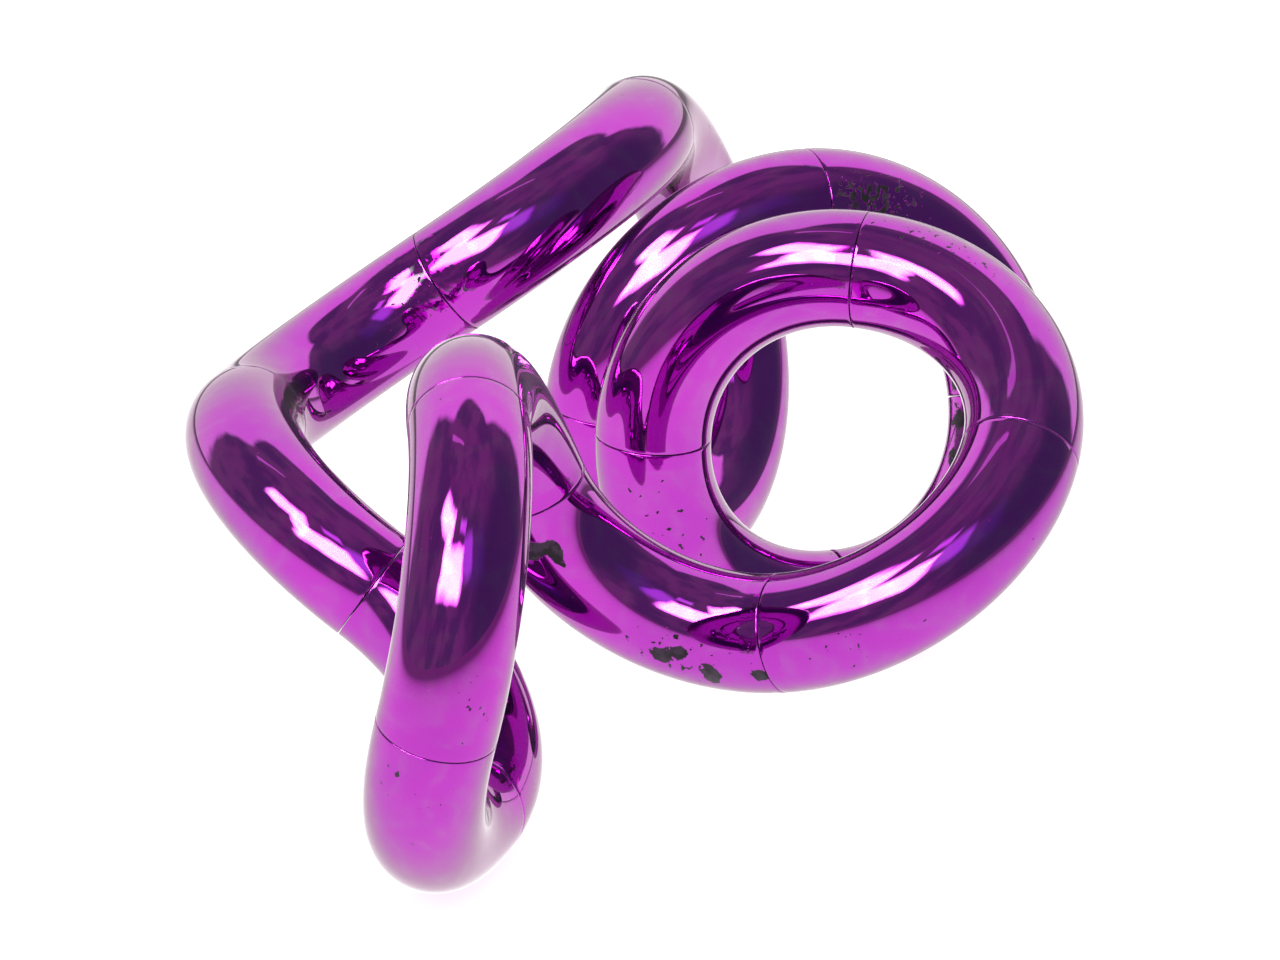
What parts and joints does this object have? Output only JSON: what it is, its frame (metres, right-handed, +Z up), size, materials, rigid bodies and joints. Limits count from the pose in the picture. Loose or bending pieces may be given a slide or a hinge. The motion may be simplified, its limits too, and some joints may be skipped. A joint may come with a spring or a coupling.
{
  "type": "twisty snake puzzle",
  "caption": "Closed chain of shiny purple quarter-bend tube links that swivel on one another, standing in a tangled loop on a table.",
  "frame": {"origin": "on the table, under the middle of the chain's bounding box", "axes": "+Z up, +Y away from the viewer through the chain's longest way, +X to the viewer's right"},
  "size_m": [0.0872, 0.1362, 0.0526],
  "materials": {
    "plated_tube": "mirror-bright purple metallised plating over moulded plastic, worn in places",
    "pin_plastic": "plain dark moulded plastic"
  },
  "bodies": {
    "section_01": {"link_01": "plated_tube", "pin_01": "pin_plastic"},
    "section_02": {"link_02": "plated_tube", "pin_02": "pin_plastic"},
    "section_03": {"link_03": "plated_tube", "pin_03": "pin_plastic"},
    "section_04": {"link_04": "plated_tube", "pin_04": "pin_plastic"},
    "section_05": {"link_05": "plated_tube", "pin_05": "pin_plastic"},
    "section_06": {"link_06": "plated_tube", "pin_06": "pin_plastic"},
    "section_07": {"link_07": "plated_tube", "pin_07": "pin_plastic"},
    "section_08": {"link_08": "plated_tube", "pin_08": "pin_plastic"},
    "section_09": {"link_09": "plated_tube", "pin_09": "pin_plastic"},
    "section_10": {"link_10": "plated_tube", "pin_10": "pin_plastic"},
    "section_11": {"link_11": "plated_tube", "pin_11": "pin_plastic"},
    "section_12": {"link_12": "plated_tube", "pin_12": "pin_plastic"},
    "section_13": {"link_13": "plated_tube", "pin_13": "pin_plastic"},
    "section_14": {"link_14": "plated_tube", "pin_14": "pin_plastic"},
    "section_15": {"link_15": "plated_tube", "pin_15": "pin_plastic"},
    "section_16": {"link_16": "plated_tube", "pin_16": "pin_plastic"},
    "section_17": {"link_17": "plated_tube", "pin_17": "pin_plastic"},
    "section_18": {"link_18": "plated_tube", "pin_18": "pin_plastic"}
  },
  "joints": [
    {"name": "swivel_01_02", "type": "hinge", "parent": "section_02", "child": "section_01", "pos_m": [0.03778, 0.03068, 0.02374], "axis": [0.0901, -0.3539, -0.931], "range_deg": [-2.8, 2.8]},
    {"name": "swivel_02_03", "type": "hinge", "parent": "section_03", "child": "section_02", "pos_m": [0.01777, 0.02944, 0.04384], "axis": [0.9067, 0.4158, -0.0703], "range_deg": [-9.4, 9.4]},
    {"name": "swivel_03_04", "type": "hinge", "parent": "section_04", "child": "section_03", "pos_m": [-0.00272, 0.02272, 0.02537], "axis": [0.1139, -0.0809, 0.9902], "range_deg": [-26.6, 26.6]},
    {"name": "swivel_04_05", "type": "hinge", "parent": "section_05", "child": "section_04", "pos_m": [0.00508, 0.04169, 0.00575], "axis": [-0.5024, -0.8645, -0.0129], "range_deg": [-7.7, 7.7]},
    {"name": "swivel_05_06", "type": "hinge", "parent": "section_06", "child": "section_05", "pos_m": [0.00939, 0.06212, 0.02499], "axis": [0.2877, -0.1531, -0.9454], "range_deg": [-8.4, 8.4]},
    {"name": "swivel_06_07", "type": "hinge", "parent": "section_07", "child": "section_06", "pos_m": [0.0009, 0.04545, 0.04634], "axis": [0.1356, 0.9837, -0.1181], "range_deg": [-2.5, 2.5]},
    {"name": "swivel_07_08", "type": "hinge", "parent": "section_08", "child": "section_07", "pos_m": [-0.01814, 0.02655, 0.03704], "axis": [0.8128, -0.0423, 0.581], "range_deg": [-36, 36]},
    {"name": "swivel_08_09", "type": "hinge", "parent": "section_09", "child": "section_08", "pos_m": [-0.03758, 0.00779, 0.02831], "axis": [0.1553, 0.977, -0.1461], "range_deg": [-13.4, 13.4]},
    {"name": "swivel_09_10", "type": "hinge", "parent": "section_10", "child": "section_09", "pos_m": [-0.02472, -0.01607, 0.01985], "axis": [-0.7955, 0.2113, 0.5679], "range_deg": [-5.7, 5.7]},
    {"name": "swivel_10_11", "type": "hinge", "parent": "section_11", "child": "section_10", "pos_m": [-0.01553, -0.03904, 0.00592], "axis": [0.3375, 0.9329, 0.1256], "range_deg": [-25.9, 25.9]},
    {"name": "swivel_11_12", "type": "hinge", "parent": "section_11", "child": "section_12", "pos_m": [-0.01795, -0.06192, 0.02255], "axis": [0.2168, -0.2069, 0.954], "range_deg": [-4.6, 4.6]},
    {"name": "swivel_12_13", "type": "hinge", "parent": "section_12", "child": "section_13", "pos_m": [-0.01506, -0.04658, 0.04627], "axis": [-0.0727, 0.9711, 0.2271], "range_deg": [-0.8, 0.8]},
    {"name": "swivel_13_14", "type": "hinge", "parent": "section_13", "child": "section_14", "pos_m": [-0.00986, -0.0223, 0.0325], "axis": [0.332, 0.2383, -0.9127], "range_deg": [-4, 4]},
    {"name": "swivel_14_15", "type": "hinge", "parent": "section_14", "child": "section_15", "pos_m": [0.01462, -0.02569, 0.01853], "axis": [0.8874, -0.4071, 0.2165], "range_deg": [-4.3, 4.3]},
    {"name": "swivel_15_16", "type": "hinge", "parent": "section_15", "child": "section_16", "pos_m": [0.03728, -0.0176, 0.03361], "axis": [0.2412, 0.81, 0.5346], "range_deg": [-19.1, 19.1]},
    {"name": "swivel_16_17", "type": "hinge", "parent": "section_16", "child": "section_17", "pos_m": [0.02272, 0.0037, 0.04546], "axis": [-0.9664, 0.251, 0.0558], "range_deg": [-8.7, 8.7]},
    {"name": "swivel_17_18", "type": "hinge", "parent": "section_17", "child": "section_18", "pos_m": [0.00233, 0.00939, 0.02654], "axis": [-0.0492, 0.0324, -0.9983], "range_deg": [-6.1, 6.1]}
  ],
  "couplings": [
    {"joint": "swivel_01_02", "follows": "swivel_07_08", "ratio": 0.076},
    {"joint": "swivel_02_03", "follows": "swivel_07_08", "ratio": -0.2572},
    {"joint": "swivel_03_04", "follows": "swivel_07_08", "ratio": -0.7372},
    {"joint": "swivel_04_05", "follows": "swivel_07_08", "ratio": 0.2107},
    {"joint": "swivel_05_06", "follows": "swivel_07_08", "ratio": -0.2303},
    {"joint": "swivel_06_07", "follows": "swivel_07_08", "ratio": 0.0662},
    {"joint": "swivel_08_09", "follows": "swivel_07_08", "ratio": 0.3706},
    {"joint": "swivel_09_10", "follows": "swivel_07_08", "ratio": -0.1552},
    {"joint": "swivel_10_11", "follows": "swivel_07_08", "ratio": -0.7168},
    {"joint": "swivel_11_12", "follows": "swivel_07_08", "ratio": 0.1242},
    {"joint": "swivel_12_13", "follows": "swivel_07_08", "ratio": 0.02},
    {"joint": "swivel_13_14", "follows": "swivel_07_08", "ratio": -0.108},
    {"joint": "swivel_14_15", "follows": "swivel_07_08", "ratio": 0.1162},
    {"joint": "swivel_15_16", "follows": "swivel_07_08", "ratio": -0.5287},
    {"joint": "swivel_16_17", "follows": "swivel_07_08", "ratio": -0.2389},
    {"joint": "swivel_17_18", "follows": "swivel_07_08", "ratio": 0.1663}
  ]
}
